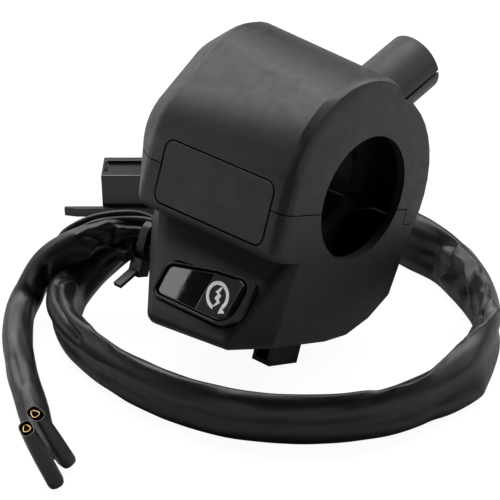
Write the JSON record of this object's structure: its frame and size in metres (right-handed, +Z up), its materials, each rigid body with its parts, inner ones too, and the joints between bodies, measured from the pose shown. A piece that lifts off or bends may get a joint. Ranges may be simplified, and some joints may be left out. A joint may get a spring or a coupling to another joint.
{
  "type": "handlebar switch cluster",
  "caption": "Throttle-side handlebar switch housing in clamped half shells, with a cable guide tube, blanking panel, rocking starter button and a sleeved wiring loom.",
  "frame": {"origin": "on the handlebar axis, in the middle of the inboard gripping land", "axes": "+X along the handlebar towards its outboard end, -Y towards the rider, +Z up from the surface that the loom lies on"},
  "size_m": [0.1415, 0.1453, 0.0744],
  "materials": {
    "shell_plastic": "fine spark grain",
    "gloss_black": "polished",
    "steel": "zinc plated",
    "nylon": "natural nylon",
    "contact_metal": "bare",
    "base_board": "laminate",
    "vinyl": "glossy soft vinyl",
    "tie_nylon": "satin",
    "connector_plastic": "satin"
  },
  "bodies": {
    "housing": {"upper_shell": "shell_plastic", "lower_shell": "shell_plastic", "upper_bulkhead": "shell_plastic", "lower_bulkhead": "shell_plastic", "blanking_panel": "shell_plastic", "switch_bezel": "gloss_black", "pivot_pin": "steel", "return_spring": "steel", "switch_base": "base_board", "fixed_contacts": "contact_metal", "base_screws": "steel", "clamp_screws": "steel", "switch_wires": "vinyl", "main_sleeve": "vinyl", "branch_sleeve": "vinyl", "loom_leads": "vinyl", "exit_tie": "tie_nylon", "loom_tie": "tie_nylon", "branch_wires": "vinyl", "terminal_boots": "vinyl", "receptacles": "contact_metal", "connector_housing": "connector_plastic", "connector_rail": "connector_plastic", "connector_terminals": "contact_metal"},
    "button": {"start_button": "gloss_black"},
    "plunger": {"contact_plunger": "nylon", "contact_bridge": "contact_metal"}
  },
  "joints": [
    {"name": "start_press", "type": "hinge", "parent": "housing", "child": "button", "pos_m": [0.0199, -0.03634, -0.01823], "axis": [0, 0.7547, 0.6561], "range_deg": [0, 5], "stiffness_Nm_per_rad": 1, "springref_deg": -2.29},
    {"name": "plunger_travel", "type": "slide", "parent": "housing", "child": "plunger", "axis": [0, 0.6561, -0.7547], "range_m": [0, 0.00132], "deforming": ["return_spring"]}
  ],
  "couplings": [
    {"joint": "plunger_travel", "follows": "start_press", "m_per_rad": 0.0151}
  ]
}
